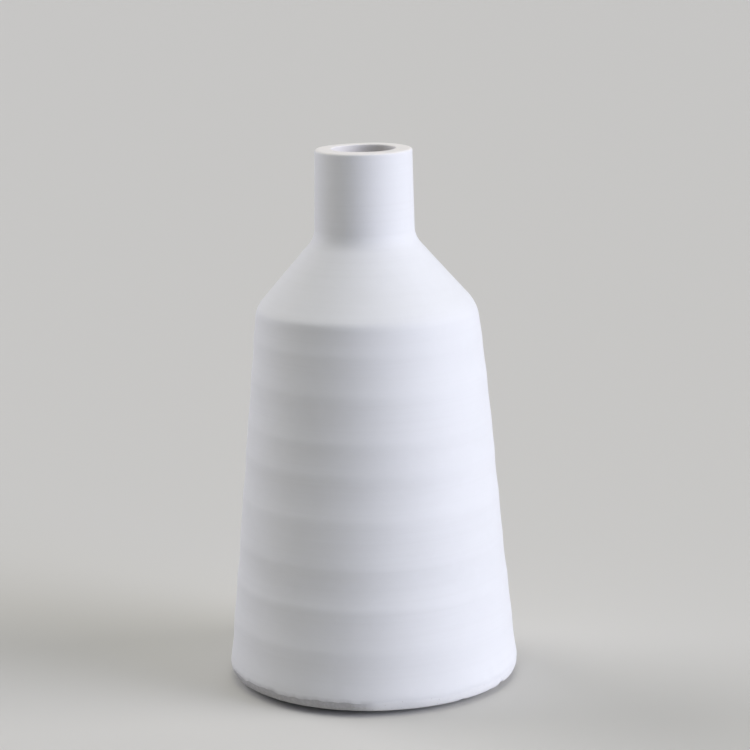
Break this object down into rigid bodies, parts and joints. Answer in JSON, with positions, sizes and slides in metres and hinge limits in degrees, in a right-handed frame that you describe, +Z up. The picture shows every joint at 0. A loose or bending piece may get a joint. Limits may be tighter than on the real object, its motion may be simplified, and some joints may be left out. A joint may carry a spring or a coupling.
{
  "type": "ceramic bud vase",
  "caption": "Matt white ceramic bud vase with a broad foot, a tapering wall, a steep cone and a short neck with a thick flat lip, on thin rubber feet.",
  "frame": {"origin": "middle of the bounding box's bottom face, on the surface that the vase stands on", "axes": "+Z up along the vase's axis of turning; X and Y are alike, and the rubber feet lie at 45 degrees between them"},
  "size_m": [0.1108, 0.1108, 0.2032],
  "materials": {
    "bare_clay": "matte",
    "matt_white_glaze": "matte",
    "liner_glaze": "satin",
    "grey_rubber": "matte"
  },
  "bodies": {
    "root": {"vase_body": "bare_clay", "outer_glaze": "matt_white_glaze", "inner_glaze": "liner_glaze", "rubber_foot_1": "grey_rubber", "rubber_foot_2": "grey_rubber", "rubber_foot_3": "grey_rubber", "rubber_foot_4": "grey_rubber"}
  },
  "joints": []
}
